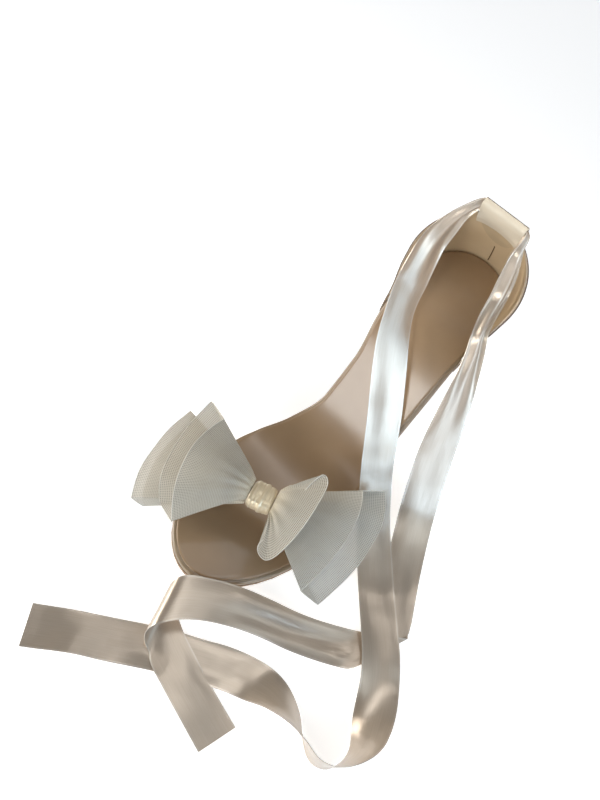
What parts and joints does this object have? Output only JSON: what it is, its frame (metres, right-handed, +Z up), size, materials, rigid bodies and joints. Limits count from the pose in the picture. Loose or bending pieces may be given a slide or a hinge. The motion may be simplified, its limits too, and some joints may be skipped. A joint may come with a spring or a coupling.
{
  "type": "stiletto sandal",
  "caption": "Open-toe stiletto sandal, left foot, with a closed heel cup, a stiff mesh bow over a toe strap and long satin ankle ribbons through a loop at the back.",
  "frame": {"origin": "centre of the heel tip's bottom face, on the plane the shoe stands on", "axes": "+Z up; -Y towards the toe, +Y towards the heel's back; -X towards the medial side, the big toe's"},
  "size_m": [0.1824, 0.2892, 0.1433],
  "materials": {
    "sock_leather": "smooth, soft sheen",
    "blush_patent_leather": "glossy",
    "outsole_leather": "matt",
    "heel_lacquer": "glossy lacquer",
    "heel_tip_rubber": "matt",
    "bow_mesh": "stiff sheer net",
    "ribbon_satin": "satin"
  },
  "bodies": {
    "root": {"sock": "sock_leather", "insole": "blush_patent_leather", "outsole": "outsole_leather", "heel": "heel_lacquer", "heel_tip": "heel_tip_rubber", "counter": "blush_patent_leather", "ribbon_tunnel": "blush_patent_leather", "toe_strap": "blush_patent_leather", "bow_knot": "ribbon_satin", "bow_loop_medial_front": "bow_mesh", "bow_loop_medial_back": "bow_mesh", "bow_loop_lateral_front": "bow_mesh", "bow_loop_lateral_back": "bow_mesh", "ribbon_medial": "ribbon_satin", "ribbon_lateral": "ribbon_satin"}
  },
  "joints": []
}
